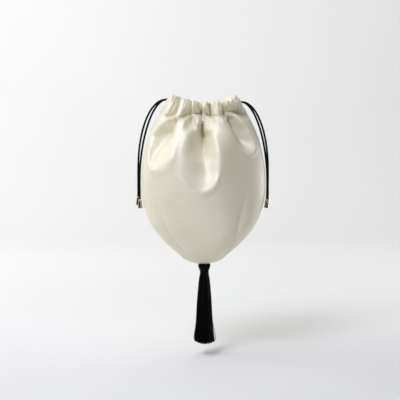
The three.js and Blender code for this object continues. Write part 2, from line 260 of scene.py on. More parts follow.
def satin_material():
    """Ivory silk satin: fine warp floats, a few slubs, soft cloudy tone."""
    material, nodes, links, shader = new_material("satin")
    place = node(nodes, "ShaderNodeTexCoord")
    # broad cloudy tone of the cloth
    cloud = node(nodes, "ShaderNodeTexNoise", Scale=14.0, Detail=3.0, Roughness=0.5)
    links.new(place.outputs["Object"], cloud.inputs["Vector"])
    tone = ramp(nodes, [(0.30, SATIN_LOW), (0.70, SATIN_HIGH)])
    links.new(cloud.outputs["Fac"], tone.inputs["Fac"])
    # warp floats: long fine streaks up the cloth
    stretch = node(nodes, "ShaderNodeMapping")
    stretch.inputs["Scale"].default_value = (260.0, 22.0, 1.0)
    links.new(place.outputs["UV"], stretch.inputs["Vector"])
    streak = node(nodes, "ShaderNodeTexNoise", Scale=1.0, Detail=4.0, Roughness=0.6, noise_dimensions="2D")
    links.new(stretch.outputs["Vector"], streak.inputs["Vector"])
    streak_tone = ramp(nodes, [(0.35, (0.965, 0.962, 0.955)), (0.65, (1.0, 1.0, 1.0))])
    links.new(streak.outputs["Fac"], streak_tone.inputs["Fac"])
    colour = node(nodes, "ShaderNodeMix", data_type="RGBA", blend_type="MULTIPLY")
    colour.inputs["Factor"].default_value = 1.0
    links.new(tone.outputs["Color"], colour.inputs["A"])
    links.new(streak_tone.outputs["Color"], colour.inputs["B"])
    links.new(colour.outputs["Result"], shader.inputs["Base Color"])
    # weave: crossing fine threads, 100 mm of cloth to a UV unit
    warp = node(nodes, "ShaderNodeTexWave", wave_type="BANDS", bands_direction="X", Scale=85.0, Distortion=0.6, Detail=1.0)
    weft = node(nodes, "ShaderNodeTexWave", wave_type="BANDS", bands_direction="Y", Scale=42.0, Distortion=1.2, Detail=1.0)
    for wave in (warp, weft):
        links.new(place.outputs["UV"], wave.inputs["Vector"])
    woven = node(nodes, "ShaderNodeMath", operation="MULTIPLY_ADD")
    links.new(weft.outputs["Fac"], woven.inputs[0])
    woven.inputs[1].default_value = 0.35
    links.new(warp.outputs["Fac"], woven.inputs[2])
    slub = node(nodes, "ShaderNodeMath", operation="MULTIPLY_ADD")
    links.new(streak.outputs["Fac"], slub.inputs[0])
    slub.inputs[1].default_value = 1.4
    links.new(woven.outputs[0], slub.inputs[2])
    fine = node(nodes, "ShaderNodeBump", Strength=0.20, Distance=0.00006)
    links.new(slub.outputs[0], fine.inputs["Height"])
    # soft handling creases that are too shallow for the mesh
    crush = node(nodes, "ShaderNodeTexNoise", Scale=55.0, Detail=2.0, Roughness=0.45)
    links.new(place.outputs["Object"], crush.inputs["Vector"])
    soft = node(nodes, "ShaderNodeBump", Strength=0.25, Distance=0.0012)
    links.new(crush.outputs["Fac"], soft.inputs["Height"])
    links.new(fine.outputs["Normal"], soft.inputs["Normal"])
    links.new(soft.outputs["Normal"], shader.inputs["Normal"])
    # the sheen is a little uneven along the floats
    gloss = node(nodes, "ShaderNodeMapRange")
    links.new(streak.outputs["Fac"], gloss.inputs["Value"])
    gloss.inputs["To Min"].default_value = 0.43
    gloss.inputs["To Max"].default_value = 0.55
    links.new(gloss.outputs["Result"], shader.inputs["Roughness"])
    shader.inputs["Specular IOR Level"].default_value = 0.95
    shader.inputs["IOR"].default_value = 1.8
    shader.inputs["Sheen Weight"].default_value = 0.12
    shader.inputs["Sheen Roughness"].default_value = 0.45
    shader.inputs["Sheen Tint"].default_value = (1.0, 0.98, 0.93, 1.0)
    return material


def cord_material():
    """Black braid: each carrier is a bundle of fine fibres."""
    material, nodes, links, shader = new_material("cord")
    place = node(nodes, "ShaderNodeTexCoord")
    stretch = node(nodes, "ShaderNodeMapping")
    stretch.inputs["Scale"].default_value = (26.0, 150.0, 1.0)
    stretch.inputs["Rotation"].default_value = (0.0, 0.0, 0.6)
    links.new(place.outputs["UV"], stretch.inputs["Vector"])
    fibre = node(nodes, "ShaderNodeTexNoise", Scale=1.0, Detail=3.0, Roughness=0.6, noise_dimensions="2D")
    links.new(stretch.outputs["Vector"], fibre.inputs["Vector"])
    tone = ramp(nodes, [(0.3, (0.0016, 0.0014, 0.0013)), (0.75, (0.0060, 0.0053, 0.0048))])
    links.new(fibre.outputs["Fac"], tone.inputs["Fac"])
    links.new(tone.outputs["Color"], shader.inputs["Base Color"])
    bump = node(nodes, "ShaderNodeBump", Strength=0.35, Distance=0.00012)
    links.new(fibre.outputs["Fac"], bump.inputs["Height"])
    links.new(bump.outputs["Normal"], shader.inputs["Normal"])
    gloss = node(nodes, "ShaderNodeMapRange")
    links.new(fibre.outputs["Fac"], gloss.inputs["Value"])
    gloss.inputs["To Min"].default_value = 0.62
    gloss.inputs["To Max"].default_value = 0.80
    links.new(gloss.outputs["Result"], shader.inputs["Roughness"])
    shader.inputs["Specular IOR Level"].default_value = 0.07
    return material


def thread_material():
    """Black silky tassel thread: each thread has its own depth of black and a twist."""
    material, nodes, links, shader = new_material("thread")
    place = node(nodes, "ShaderNodeTexCoord")
    own = node(nodes, "ShaderNodeAttribute", attribute_name="tone")
    tone = ramp(nodes, [(0.0, (0.0010, 0.0009, 0.0009)), (1.0, (0.0052, 0.0048, 0.0046))])
    links.new(own.outputs["Fac"], tone.inputs["Fac"])
    links.new(tone.outputs["Color"], shader.inputs["Base Color"])
    turn = node(nodes, "ShaderNodeMapping")
    turn.inputs["Rotation"].default_value = (0.0, 0.0, 0.5)
    turn.inputs["Scale"].default_value = (1.0, 40.0, 1.0)
    links.new(place.outputs["UV"], turn.inputs["Vector"])
    twist = node(nodes, "ShaderNodeTexWave", wave_type="BANDS", bands_direction="X", Scale=1.2, Distortion=1.0, Detail=1.0)
    links.new(turn.outputs["Vector"], twist.inputs["Vector"])
    bump = node(nodes, "ShaderNodeBump", Strength=0.3, Distance=0.0001)
    links.new(twist.outputs["Fac"], bump.inputs["Height"])
    links.new(bump.outputs["Normal"], shader.inputs["Normal"])
    gloss = node(nodes, "ShaderNodeMapRange")
    links.new(twist.outputs["Fac"], gloss.inputs["Value"])
    gloss.inputs["To Min"].default_value = 0.42
    gloss.inputs["To Max"].default_value = 0.60
    links.new(gloss.outputs["Result"], shader.inputs["Roughness"])
    shader.inputs["Specular IOR Level"].default_value = 0.06
    return material


def metal_material():
    """Polished rose-brown brass with faint handling marks."""
    material, nodes, links, shader = new_material("cord_end")
    place = node(nodes, "ShaderNodeTexCoord")
    wear = node(nodes, "ShaderNodeTexNoise", Scale=420.0, Detail=4.0, Roughness=0.6)
    links.new(place.outputs["Object"], wear.inputs["Vector"])
    tone = ramp(nodes, [(0.35, (0.54, 0.430, 0.340)), (0.65, (0.68, 0.560, 0.455))])
    links.new(wear.outputs["Fac"], tone.inputs["Fac"])
    links.new(tone.outputs["Color"], shader.inputs["Base Color"])
    gloss = node(nodes, "ShaderNodeMapRange")
    links.new(wear.outputs["Fac"], gloss.inputs["Value"])
    gloss.inputs["To Min"].default_value = 0.08
    gloss.inputs["To Max"].default_value = 0.18
    links.new(gloss.outputs["Result"], shader.inputs["Roughness"])
    turned = node(nodes, "ShaderNodeTexNoise", Scale=2600.0, Detail=1.0)
    links.new(place.outputs["Object"], turned.inputs["Vector"])
    bump = node(nodes, "ShaderNodeBump", Strength=0.06, Distance=0.00005)
    links.new(turned.outputs["Fac"], bump.inputs["Height"])
    links.new(bump.outputs["Normal"], shader.inputs["Normal"])
    shader.inputs["Metallic"].default_value = 1.0
    return material


def stage_material():
    material, nodes, links, shader = new_material("stage")
    place = node(nodes, "ShaderNodeTexCoord")
    cloud = node(nodes, "ShaderNodeTexNoise", Scale=1.6, Detail=2.0)
    links.new(place.outputs["Object"], cloud.inputs["Vector"])
    tone = ramp(nodes, [(0.3, (0.848, 0.850, 0.836)), (0.7, (0.868, 0.868, 0.852))])
    links.new(cloud.outputs["Fac"], tone.inputs["Fac"])
    # painted shade: the floor colour is darkened towards the front, standing in for the light falling off there
    apart = node(nodes, "ShaderNodeSeparateXYZ")
    links.new(place.outputs["Object"], apart.inputs["Vector"])
    # painted shade factor: 0.895 at the front up to 1.0 at the back
    depth = node(nodes, "ShaderNodeMapRange")
    links.new(apart.outputs["Y"], depth.inputs["Value"])
    for key, value in (("From Min", -0.32), ("From Max", 0.22), ("To Min", 0.895), ("To Max", 1.0)):
        depth.inputs[key].default_value = value
    painted_front_shade = node(nodes, "ShaderNodeVectorMath", operation="SCALE")
    links.new(tone.outputs["Color"], painted_front_shade.inputs[0])
    links.new(depth.outputs["Result"], painted_front_shade.inputs["Scale"])
    links.new(painted_front_shade.outputs["Vector"], shader.inputs["Base Color"])
    shader.inputs["Roughness"].default_value = 0.85
    shader.inputs["Specular IOR Level"].default_value = 0.1
    return material


SATIN_LOW = (0.768, 0.716, 0.533)
SATIN_HIGH = (0.828, 0.781, 0.607)
SATIN, CORD, THREAD, METAL, STAGE = (
    satin_material(), cord_material(), thread_material(), metal_material(), stage_material())


# ------------------------------------------------------------- the pouch ----
STITCH_Z = -17.0             # sewn line under the casing
CLOTH_OUT, CLOTH_IN = 0.55, 0.30   # cloth thickness outside and inside its middle
PLEAT_FADE_Z = -112.0        # where the last of the gathers is smoothed out

# One row for each level, from the base seam up, over the top fold and down
# inside as the hem of the casing; the same measures as the construction.
#   z, rise     height, and share of the way from the sewn line to the top edge
#   wide, deep  half the width and half the depth     rim  side edge's distance from the middle plane
#   point       1 = round section, 2 = lens-shaped    even 1 = columns evenly spaced across
#   lift        cloth outside (+) or inside (-) the cord line      pleat  share of the gathers shown
#   square      2 = plain ellipse, more = fuller at the quarter points
LEVELS = np.array([
    # z     rise  wide  deep  rim  point even lift  pleat square
    (-212.6, 0.0,  5.0,  0.3, 0.35, 1.0, 0.0, 0.0, 0.0, 2.2),
    (-210.8, 0.0, 12.0,  6.5, 0.15, 1.0, 0.0, 0.0, 0.0, 2.4),
    (-207.6, 0.0, 21.8, 13.0, 0.02, 1.0, 0.0, 0.0, 1.0, 2.6),
    (-202.2, 0.0, 28.3, 19.0, 0.02, 1.0, 0.0, 0.0, 1.0, 2.7),
    (-196.4, 0.0, 35.4, 24.5, 0.02, 1.0, 0.0, 0.0, 1.0, 2.7),
    (-185.6, 0.0, 47.4, 32.5, 0.02, 1.0, 0.0, 0.0, 1.0, 2.7),
    (-172.3, 0.0, 59.4, 40.5, 0.02, 1.0, 0.0, 0.0, 1.0, 2.6),
    (-159.1, 0.0, 68.2, 46.5, 0.02, 1.0, 0.0, 0.0, 1.0, 2.5),
    (-145.9, 0.0, 74.0, 50.5, 0.02, 1.0, 0.0, 0.0, 1.0, 2.3),
    (-132.5, 0.0, 77.7, 53.0, 0.02, 1.0, 0.0, 0.0, 1.0, 2.2),
    (-119.2, 0.0, 79.7, 54.0, 0.02, 1.0, 0.0, 0.0, 1.0, 2.1),
    (-106.0, 0.0, 80.2, 54.0, 0.02, 1.0, 0.0, 0.0, 1.0, 2.0),
    ( -92.7, 0.0, 79.4, 52.5, 0.02, 1.0, 0.0, 0.0, 1.0, 2.0),
    ( -79.4, 0.0, 77.8, 49.5, 0.02, 1.05, 0.1, 0.0, 1.0, 2.0),
    ( -66.2, 0.0, 75.4, 45.0, 0.02, 1.12, 0.2, 0.0, 1.0, 2.0),
    ( -52.9, 0.0, 72.3, 39.5, 0.02, 1.20, 0.4, 0.0, 1.0, 2.0),
    ( -39.7, 0.0, 67.7, 33.5, 0.02, 1.35, 0.6, 0.0, 1.0, 2.0),
    ( -26.4, 0.0, 61.0, 26.8, 0.05, 1.45, 0.8, 0.4, 1.0, 2.0),
    ( -20.0, 0.0, 57.0, 20.2, 0.40, 1.55, 0.87, 0.6, 1.0, 2.0),
    ( -17.0, 0.00, 55.0, 16.4, 1.20, 1.60, 0.90,  1.4, 1.00, 2.0),
    ( -17.0, 0.22, 52.3, 15.4, 2.80, 1.80, 1.0,  2.8, 1.00, 2.0),
    ( -17.0, 0.45, 49.4, 14.5, 4.20, 2.0, 1.0,  3.6, 1.00, 2.0),
    ( -17.0, 0.65, 47.4, 12.9, 5.00, 2.0, 1.0,  4.0, 1.00, 2.0),
    ( -17.0, 0.82, 46.2, 11.9, 5.20, 2.0, 1.0,  3.8, 0.98, 2.0),
    ( -17.0, 0.94, 45.4, 11.5, 5.20, 2.0, 1.0,  2.4, 0.88, 2.0),
    ( -17.0, 1.00, 45.0, 11.5, 5.20, 2.0, 1.0,  0.0, 0.66, 2.0),
    ( -17.0, 0.94, 43.4, 11.5, 5.20, 2.0, 1.0, -4.6, 0.05, 2.0),
    ( -17.0, 0.82, 42.6, 11.9, 5.20, 2.0, 1.0, -7.4, -0.10, 2.0),
    ( -17.0, 0.65, 43.2, 12.9, 5.00, 2.0, 1.0, -7.9, -0.08, 2.0),
    ( -17.0, 0.45, 44.8, 14.5, 4.20, 2.0, 1.0, -8.0, -0.05, 2.0),
    ( -17.0, 0.15, 48.0, 15.8, 2.40, 2.0, 1.0, -7.4, 0.00, 2.0),
])
LEVEL_NAMES = ("z", "rise", "wide", "deep", "rim", "point", "even", "lift", "pleat", "square")

# Height of the gathered top edge across the front panel.
TOP_EDGE = np.array([
    (-1.00, 3.6), (-0.92, 5.0), (-0.84, 6.2), (-0.74, 5.0), (-0.66, 3.2), (-0.48, 0.9), (-0.36, -0.5),
    (-0.22, -1.6), (0.00, -2.3), (0.26, -1.7), (0.44, -0.8), (0.59, 0.5), (0.72, 3.6), (0.82, 7.2),
    (0.90, 5.2), (1.00, 3.2),
])
# Nicks where the gathers meet at the top edge: place across u, depth
NOTCHES = [(-0.80, 0.9), (-0.66, 1.5), (-0.57, 0.8), (-0.47, 0.8), (-0.33, 1.5), (-0.21, 1.0), (-0.09, 1.6), (0.02, 1.0), (0.10, 0.8),
           (0.18, 1.5), (0.30, 1.0), (0.40, 0.8), (0.485, 1.6), (0.57, 1.0), (0.70, 1.2), (0.89, 0.9)]


def top_edge(u, face, inside=0.0):
    """Height of the top edge; its nicks and ruffles fade out towards the inside of the fold."""
    z = through(TOP_EDGE[:, 0], TOP_EDGE[:, 1], u if face < 0 else -u)
    ragged = 0.60 * noise(u * 14, 0.5, 5 + face) + 0.85 * noise(u * 37, 0.5, 9 + face) + 0.45 * noise(u * 66, 0.5, 13 + face)
    for place, depth in NOTCHES:
        ragged = ragged - (1.8 if face < 0 else 1.1) * depth * np.exp(-((u * -face - place) / 0.019) ** 2)
    return z + ragged * (1 - inside) * (1 - 0.7 * u ** 4) - (1.0 if face > 0 else 0.0) * (1 - u ** 4)


# Scoops pressed in between the gathers. Each has a table down its length:
#   z, place across u, half-width to the left and right, depth, bend of its floor (1 = tight crease, 2 = round),
#   fall of its left and right walls (1 = straight up to a clear shoulder, 2 = eased)
# and the level where it ends, the length of its rounded end, how soft its shoulder is, and the height of the lip below it.
FRONT_SCOOPS = [
    dict(end=-85.0, cap=60.0, soft=0.12, lip=3.00, rows=[
        (-17, -0.534, 0.130, 0.110, 9.8, 1.09, 1.60, 1.59), (-22, -0.532, 0.126, 0.126, 13.7, 1.23, 1.50, 1.51),
        (-30, -0.534, 0.210, 0.110, 14.1, 1.28, 1.35, 1.48), (-45, -0.596, 0.249, 0.236, 26.0, 1.63, 1.26, 1.48),
        (-62, -0.611, 0.153, 0.314, 21.3, 1.58, 1.22, 1.56), (-78, -0.600, 0.146, 0.383, 17.4, 1.96, 0.97, 1.44),
        (-89, -0.532, 0.164, 0.403, 13.1, 2.04, 1.08, 1.30)]),
    dict(end=-42.5, cap=14.0, soft=0.15, lip=0.00, rows=[
        (-17, -0.264, 0.081, 0.073, 14.3, 1.15, 1.59, 1.60), (-26, -0.194, 0.138, 0.079, 14.3, 1.29, 1.58, 1.58),
        (-40, -0.165, 0.178, 0.113, 6.8, 1.53, 1.44, 1.48)]),
    dict(end=-113.3, cap=42.5, soft=0.12, lip=2.20, rows=[
        (-17, 0.002, 0.072, 0.148, 12.1, 1.15, 1.64, 1.41), (-26, 0.015, 0.073, 0.220, 11.5, 1.03, 1.69, 1.24),
        (-36, -0.026, 0.164, 0.222, 12.3, 1.00, 1.53, 1.34), (-48, 0.001, 0.238, 0.157, 24.4, 1.00, 1.54, 1.29),
        (-62, -0.004, 0.252, 0.176, 24.6, 1.00, 1.56, 1.39), (-80, 0.011, 0.262, 0.173, 14.6, 1.05, 1.65, 1.30),
        (-98, -0.000, 0.242, 0.164, 15.3, 1.45, 1.49, 1.28), (-113, -0.012, 0.213, 0.188, 11.9, 1.76, 1.33, 1.28)]),
    dict(end=-69.5, cap=20.0, soft=0.11, lip=0.80, rows=[
        (-17, 0.485, 0.070, 0.095, 11.5, 1.06, 1.45, 1.55), (-21, 0.520, 0.105, 0.150, 18.0, 1.20, 1.20, 1.45),
        (-28, 0.556, 0.170, 0.170, 23.5, 1.25, 1.02, 1.40), (-38, 0.568, 0.175, 0.235, 22.5, 1.32, 1.02, 1.32),
        (-50, 0.592, 0.170, 0.245, 20.5, 1.50, 1.02, 1.15), (-66, 0.622, 0.190, 0.180, 18.0, 1.75, 1.02, 1.02)]),
]
BACK_SCOOPS = [
    dict(end=-84, cap=32, soft=0.10, lip=1.0, rows=[
        (-17, -0.57, 0.15, 0.14,  8.0, 1.0, 1.6, 1.6), (-32, -0.60, 0.24, 0.19, 14.0, 1.3, 1.4, 1.4),
        (-60, -0.63, 0.26, 0.28, 15.5, 1.7, 1.2, 1.25), (-84, -0.62, 0.24, 0.27, 13.0, 2.0, 1.1, 1.1)]),
    dict(end=-46, cap=18, soft=0.15, lip=0.0, rows=[
        (-17, -0.27, 0.08, 0.08, 6.0, 1.0, 1.6, 1.6), (-46, -0.24, 0.08, 0.08, 3.0, 1.5, 1.5, 1.5)]),
    dict(end=-104, cap=36, soft=0.10, lip=1.2, rows=[
        (-17, -0.03, 0.10, 0.09, 8.0, 1.0, 1.6, 1.6), (-40, -0.03, 0.15, 0.14, 15.5, 1.2, 1.4, 1.4),
        (-75, -0.02, 0.19, 0.19, 16.0, 1.8, 1.2, 1.2), (-104, -0.02, 0.17, 0.18, 13.0, 2.0, 1.05, 1.05)]),
    dict(end=-38, cap=15, soft=0.15, lip=0.0, rows=[
        (-17, 0.25, 0.08, 0.08, 6.0, 1.0, 1.6, 1.6), (-38, 0.22, 0.08, 0.08, 3.0, 1.4, 1.6, 1.6)]),
    dict(end=-92, cap=34, soft=0.10, lip=1.0, rows=[
        (-17, 0.56, 0.14, 0.15,  8.0, 1.0, 1.6, 1.6), (-36, 0.60, 0.20, 0.24, 14.5, 1.3, 1.4, 1.4),
        (-66, 0.63, 0.28, 0.26, 15.0, 1.8, 1.2, 1.2), (-92, 0.62, 0.26, 0.24, 12.5, 2.0, 1.1, 1.1)]),
]
# Small dents: place across u, height, half-width in u, half-height, depth
FRONT_DENTS = [(0.075, -45.0, 0.045, 8.0, 2.2)]
BACK_DENTS = []
# Puffs of the casing between its creases: crest across u, half-width to the left and right, height
FRONT_PUFFS = [(-0.815, 0.160, 0.140, 8.0), (-0.490, 0.135, 0.150, 11.0), (-0.245, 0.050, 0.145, 8.5), (0.015, 0.045, 0.150, 9.0),
               (0.290, 0.120, 0.180, 10.5), (0.590, 0.072, 0.340, 9.5)]
BACK_PUFFS = [(-0.800, 0.190, 0.180, 6.6), (-0.440, 0.165, 0.140, 7.6), (-0.160, 0.105, 0.102, 6.4), (0.110, 0.112, 0.110, 6.6),
              (0.390, 0.132, 0.152, 7.4), (0.750, 0.195, 0.200, 6.9)]
# Hollows pressed into the casing: place across u, rise, half-width in u, half-height in rise, depth
FRONT_HOLLOWS = [(0.415, 0.72, 0.070, 0.42, 3.4), (0.60, 0.70, 0.035, 0.45, 2.6), (-0.40, 0.55, 0.060, 0.60, 2.4), (-0.735, 0.60, 0.045, 0.55, 2.4),
                 (-0.90, 0.55, 0.05, 0.5, 1.6), (0.80, 0.35, 0.06, 0.4, 1.6)]
BACK_HOLLOWS = [(-0.50, 0.65, 0.060, 0.45, 2.6), (-0.62, 0.60, 0.040, 0.45, 2.2), (0.34, 0.70, 0.060, 0.45, 2.6), (0.70, 0.60, 0.045, 0.50, 2.4),
                (0.84, 0.40, 0.05, 0.4, 1.6)]
# Sharp creases between the gathers: half-width in u, and height, place across u and depth down their length
FRONT_CREASES = [
    (0.052, [(6, -0.69, 2.4), (-9.7, -0.650, 5.2), (-18, -0.585, 7.0), (-25, -0.540, 6.5), (-34, -0.505, 3.0), (-44, -0.49, 0.0)]),
    (0.048, [(2, -0.356, 2.6), (-11, -0.309, 5.6), (-18, -0.268, 7.2), (-23, -0.242, 6.5), (-29, -0.225, 2.5), (-35, -0.22, 0.0)]),
    (0.058, [(0, -0.083, 2.6), (-11, -0.062, 6.0), (-18, -0.046, 8.5), (-26, -0.034, 10.0), (-38, -0.020, 9.0), (-50, -0.004, 3.5), (-60, 0.0, 0.0)]),
    (0.032, [(0, 0.174, 2.0), (-11, 0.158, 3.8), (-17, 0.146, 3.0), (-23, 0.14, 0.0)]),
    (0.050, [(4, 0.53, 2.4), (-11, 0.494, 5.2), (-18, 0.440, 6.5), (-23, 0.415, 5.0), (-29, 0.41, 0.0)]),
]
FRONT_CREASES += [(0.024, [(8, place, 2.6), (top - 3.5, place, 2.4), (top - 8, place + 0.006, 1.0), (top - 12, place + 0.01, 0.0)])
                  for place, top in ((-0.80, 5.5), (-0.57, 2.0), (-0.47, 0.8), (-0.21, -1.8), (0.02, -2.4), (0.10, -2.2),
                                     (0.385, -1.0), (0.60, 0.8), (0.70, 3.0), (0.90, 4.5))]
BACK_CREASES = [
    (0.040, [(4, -0.62, 1.6), (-11, -0.605, 3.2), (-22, -0.57, 3.4), (-36, -0.56, 0.0)]),
    (0.036, [(1, -0.275, 1.6), (-11, -0.275, 3.2), (-20, -0.262, 3.2), (-28, -0.255, 0.0)]),
    (0.040, [(0, -0.04, 1.8), (-11, -0.035, 3.4), (-24, -0.03, 3.6), (-42, -0.03, 0.0)]),
    (0.036, [(1, 0.235, 1.6), (-11, 0.245, 3.2), (-20, 0.248, 3.2), (-27, 0.245, 0.0)]),
    (0.040, [(4, 0.55, 1.6), (-11, 0.545, 3.2), (-22, 0.56, 3.4), (-38, 0.58, 0.0)]),
]
STAND = 7.5                  # how far the gathers stand out below the sewn line
# How strongly the sewn line draws the cloth in, across the panel, in millimetres
PINCH = np.array([(-1.0, -0.6), (-0.82, -3.6), (-0.70, -1.2), (-0.62, 0.4), (-0.50, -5.6), (-0.43, -3.4), (-0.36, 0.6), (-0.31, 1.6), (-0.195, 5.6),
                  (-0.10, 1.4), (-0.045, 0.8), (0.0, 3.0), (0.074, 7.0), (0.15, 1.2), (0.23, -5.2), (0.32, -5.4), (0.41, -0.5), (0.49, 2.0),
                  (0.60, 7.0), (0.73, 8.5), (0.85, 5.2), (1.0, 1.0)])
# How far the top of the casing leans out over it
LEAN = np.array([(-1.0, -1.0), (-0.82, -3.0), (-0.66, -1.4), (-0.50, -4.2), (-0.38, -0.8), (-0.29, 1.2), (-0.195, 4.6), (-0.06, 0.6), (0.074, 6.0),
                 (0.15, 0.6), (0.24, -4.2), (0.33, -2.4), (0.42, 2.4), (0.52, 1.6), (0.62, 6.0), (0.80, 6.5), (0.92, 2.2), (1.0, 0.0)])
# How far the sewn line wanders up or down, across the panel
SEAM_DROP = np.array([(-1.0, 0.0), (-0.8, -1.0), (-0.62, -0.5), (-0.46, -3.0), (-0.30, 0.0), (-0.18, 0.6), (-0.06, 1.0), (0.0, 1.8), (0.07, 0.0),
                      (0.15, -1.8), (0.30, -2.6), (0.44, -1.0), (0.54, 3.0), (0.63, 3.0), (0.80, 0.6), (1.0, -0.4)])
# Shallow creases down the lower body beside the seams: height, place across u on the left and right, depth
FLANKS = np.array([(-96, -0.57, 0.52, 0.0), (-112, -0.565, 0.51, 1.4), (-132, -0.56, 0.495, 3.4), (-152, -0.555, 0.485, 5.0),
                   (-176, -0.535, 0.53, 6.0), (-190, -0.56, 0.58, 5.2), (-200, -0.66, 0.68, 3.0), (-207, -0.85, 0.86, 0.8)])
# Slow rise and fall of the body cloth, a row for each height and a column for each place across
SWELL_U = np.linspace(-0.96, 0.96, 13)
SWELL_Z = np.linspace(-24.0, -206.0, 14)
FRONT_SWELL = np.array([
    (0.0, 0.1, 0.7, 1.6, 0.7, -1.6, -1.2, -2.0, 4.0, 3.9, 1.4, -0.3, -1.9),
    (0.0, 0.2, 0.7, 2.7, 1.4, -1.3, 0.1, -0.6, 3.8, 3.8, 1.5, -1.0, -2.8),
    (0.0, 0.5, 1.2, 3.9, 2.9, 0.8, 1.6, 2.2, 2.2, 1.1, -1.5, -2.7, -3.2),
    (0.6, 1.2, 2.3, 5.1, 4.9, 4.0, 4.0, 4.9, 1.2, -3.1, -4.8, -3.8, -2.5),
    (0.8, 1.6, 3.9, 4.9, 4.9, 4.9, 4.9, 4.9, 0.4, -4.9, -4.9, -4.1, -2.0),
    (0.7, 1.6, 4.4, 4.4, 4.4, 4.0, 4.4, 4.4, -0.8, -4.4, -4.4, -3.4, -1.4),
    (0.2, 0.7, 3.7, 4.0, 3.7, 1.8, 4.0, 3.9, -1.7, -4.0, -4.0, -2.5, -0.9),
    (-0.3, -0.6, 0.7, 2.2, -1.1, -2.7, 0.2, 1.0, -3.3, -4.5, -4.5, -2.4, -1.0),
    (-0.3, -0.8, -1.0, -0.8, -4.3, -4.9, -2.3, -1.8, -3.5, -4.1, -4.2, -2.1, -1.0),
    (0.0, -0.2, -1.1, -2.0, -4.7, -4.6, -2.9, -2.9, -1.8, -1.8, -2.1, -1.8, -1.4),
    (0.0, -0.2, -0.6, -2.0, -5.4, -5.3, -3.4, -2.1, 1.2, 1.2, -0.3, -2.0, -1.7),
    (-0.5, -0.9, -0.6, -1.7, -5.3, -3.7, -0.5, 1.4, 4.2, 2.8, -0.4, -2.2, -1.6),
    (-0.7, -1.2, -1.4, -2.2, -3.8, -1.4, 1.4, 2.7, 3.6, 1.4, -1.1, -1.6, -1.3),
    (-0.6, -1.1, -1.4, -2.0, -2.2, -1.0, 0.5, 1.1, 1.0, 0.0, -1.0, -1.2, -1.0),
])
BACK_SWELL = np.zeros((14, 13))
FRONT = dict(scoops=FRONT_SCOOPS, dents=FRONT_DENTS, puffs=FRONT_PUFFS, hollows=FRONT_HOLLOWS, creases=FRONT_CREASES, swell=FRONT_SWELL)
BACK = dict(scoops=BACK_SCOOPS, dents=BACK_DENTS, puffs=BACK_PUFFS, hollows=BACK_HOLLOWS, creases=BACK_CREASES, swell=BACK_SWELL)


def hump(t):
    """Cubic B-spline bump, four knots wide."""
    t = np.abs(t)
    return np.where(t < 1, 2 / 3 - t * t + t ** 3 / 2, np.maximum(0, 2 - t) ** 3 / 6)


def swelling(u, z, table):
    du, dz = SWELL_U[1] - SWELL_U[0], SWELL_Z[1] - SWELL_Z[0]
    across = [hump((u - k) / du) for k in SWELL_U]
    total = np.zeros(np.broadcast(u, z).shape)
    for row, k in zip(table, SWELL_Z):
        if np.any(row):
            total = total + hump((z - k) / dz) * sum(c * a for c, a in zip(row, across))
    return total


def gather(u, z, form):
    """Height of the cloth above the plain section."""
    edge = 1 - np.abs(u) ** 6
    below = np.maximum(0, STITCH_Z - z)
    puffed = -1.0
    for crest, left, right, high in form["puffs"]:
        puffed = puffed + high * np.maximum(0, 1 - ((u - crest) / np.where(u < crest, left, right)) ** 2) ** 0.95
    waver = u + 0.010 * noise(u * 5, z / 16, 71) * smooth(below / 12)
    height = STAND * (1 - smooth(below / (STITCH_Z - PLEAT_FADE_Z)))
    for scoop in form["scoops"]:
        rows = np.array(scoop["rows"], float)
        place, left, right, depth, bend, fall_left, fall_right = (through(rows[:, 0], rows[:, k], z) for k in range(1, 8))
        q = (waver - place) / np.where(waver < place, left, right)
        s = np.maximum(0, (scoop["end"] + scoop["cap"] - z) / scoop["cap"])
        away = np.sqrt(q * q + s * s)
        bowl = 1 - np.minimum(away, 3) ** bend
        bowl = 0.5 * (bowl + np.sqrt(bowl * bowl + scoop["soft"] ** 2))
        height = height - depth * bowl ** mix(fall_left, fall_right, smooth(0.5 + 1.1 * q))
        lip = np.exp(-((away - 1.08) / 0.11) ** 2) * smooth((s - 0.35) / 0.5)
        height = height + scoop["lip"] * lip
    for place, level, wide, high, depth in form["dents"]:
        away = ((u - place) / wide) ** 2 + ((z - level) / high) ** 2
        height = height - depth * np.maximum(0, 1 - away) ** 1.5
    left, right, deep = (through(FLANKS[:, 0], FLANKS[:, k], z) for k in (1, 2, 3))
    for middle in (left, right):
        away = np.abs(u - middle)
        height = height - deep * np.exp(-(np.sqrt(away * away + 0.0008) / np.where(np.abs(u) < np.abs(middle), 0.15, 0.075)) ** 1.2)
    height = height + swelling(u, z, form["swell"])
    return mix(puffed, height, smooth(below / 9)) * edge


def wrinkles(u, z, rise, face):
    """Fine ruffles of the casing, puckers at its seam, and the soft unevenness of the body."""
    below = np.maximum(0, STITCH_Z - z)
    near = np.exp(-below / 9.0)
    seed = 20 + 10 * face
    ruffle = 0.60 * noise(u * 17, z * 0.02, seed) + (0.45 + 0.35 * rise) * noise(u * 31 + 0.2 * rise, z * 0.02 + rise, seed + 1)
    ruffle = ruffle + (0.22 + 0.40 * rise) * noise(u * 58, rise * 1.3, seed + 2)
    body = 0.55 * noise(u * 3.1, z / 34, seed + 3) + 0.28 * noise(u * 6.5 + z / 60, z / 21, seed + 4)
    spread = smooth((STITCH_Z - 15 - z) / 40)
    base = 0.5 * noise(u * 7, 0.5, seed + 5) * smooth((-186 - z) / 16) + 0.3 * noise(u * 15, 0.5, seed + 6) * smooth((-198 - z) / 10)
    return ruffle * near * (1 - np.abs(u) ** 8) + body * spread * (1 - np.abs(u) ** 4) + base


